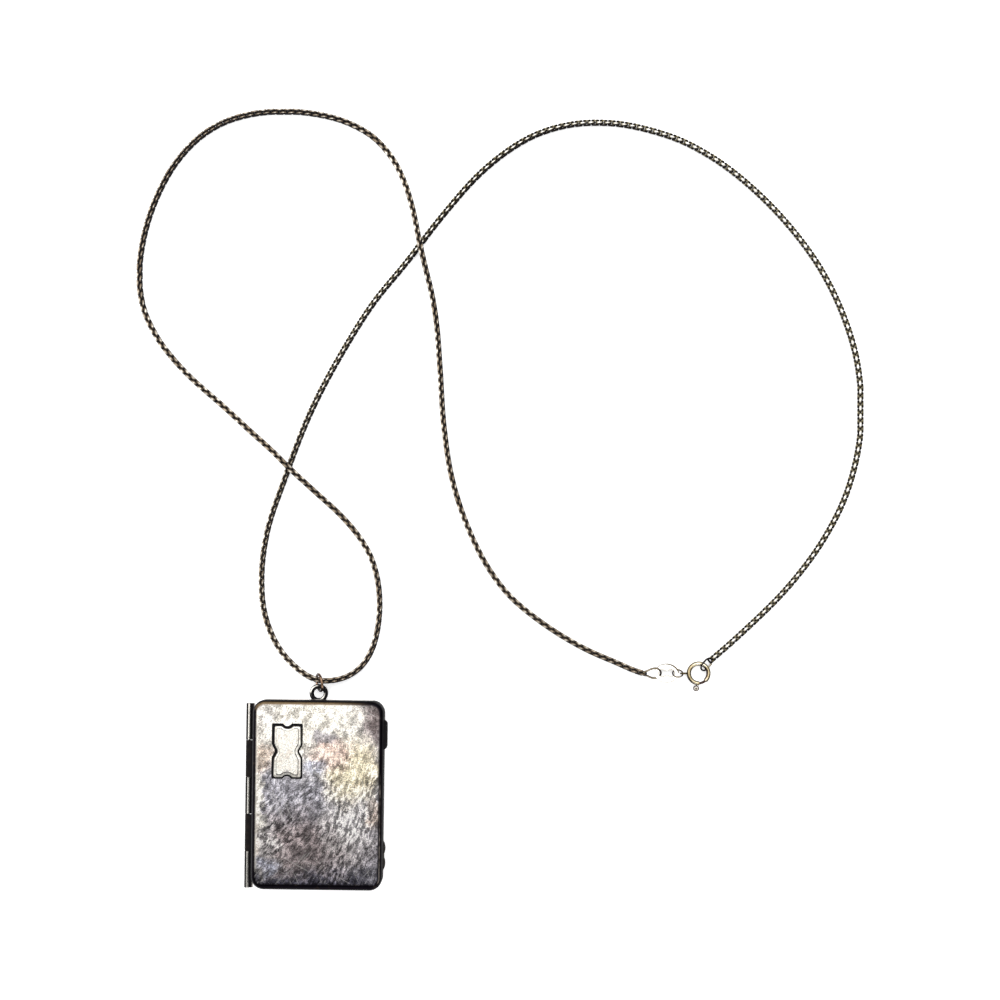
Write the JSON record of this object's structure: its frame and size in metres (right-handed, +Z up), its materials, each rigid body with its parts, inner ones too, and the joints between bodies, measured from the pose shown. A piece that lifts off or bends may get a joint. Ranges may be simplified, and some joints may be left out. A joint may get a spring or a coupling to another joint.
{
  "type": "locket necklace",
  "caption": "Hinged rectangular locket with a hammered cover, held by a jump ring on a long box chain that closes with a spring ring clasp and an oval tag.",
  "frame": {"origin": "under the middle of the whole necklace's box, on the surface that it lies on", "axes": "+X to the right and +Y to the top of the necklace as it lies, +Z up from the surface; the locket's hinge is on its -X side"},
  "size_m": [0.1815, 0.1944, 0.0063],
  "materials": {
    "case_silver": "tarnished sterling silver, dark patina in the recesses",
    "cover_silver": "hand hammered sterling silver with uneven patina and fine scratches",
    "chain_silver": "warm worn silver, black between the links",
    "clasp_silver": "polished sterling silver",
    "ring_bronze": "worn silver with a warm coppery tarnish"
  },
  "bodies": {
    "necklace": {"back_case": "case_silver", "hinge_pin": "case_silver", "jump_ring": "ring_bronze", "chain_tag_side": "chain_silver", "chain_clasp_side": "chain_silver", "left_end_ring": "clasp_silver", "oval_tag": "clasp_silver", "tag_ring": "clasp_silver", "clasp_body": "clasp_silver", "right_end_ring": "clasp_silver"},
    "cover": {"front_cover": "cover_silver"},
    "trigger": {"clasp_trigger": "clasp_silver"}
  },
  "joints": [
    {"name": "cover_hinge", "type": "hinge", "parent": "necklace", "child": "cover", "pos_m": [-0.0625, -0.07337, 0.00315], "axis": [-0.0131, -0.9999, 0], "range_deg": [0, 180]},
    {"name": "clasp_tongue", "type": "hinge", "parent": "necklace", "child": "trigger", "pos_m": [0.0495, -0.0437, 0.0012], "axis": [0, 0, -1], "range_deg": [0, 40], "stiffness_Nm_per_rad": 0.001, "springref_deg": -11.46}
  ]
}
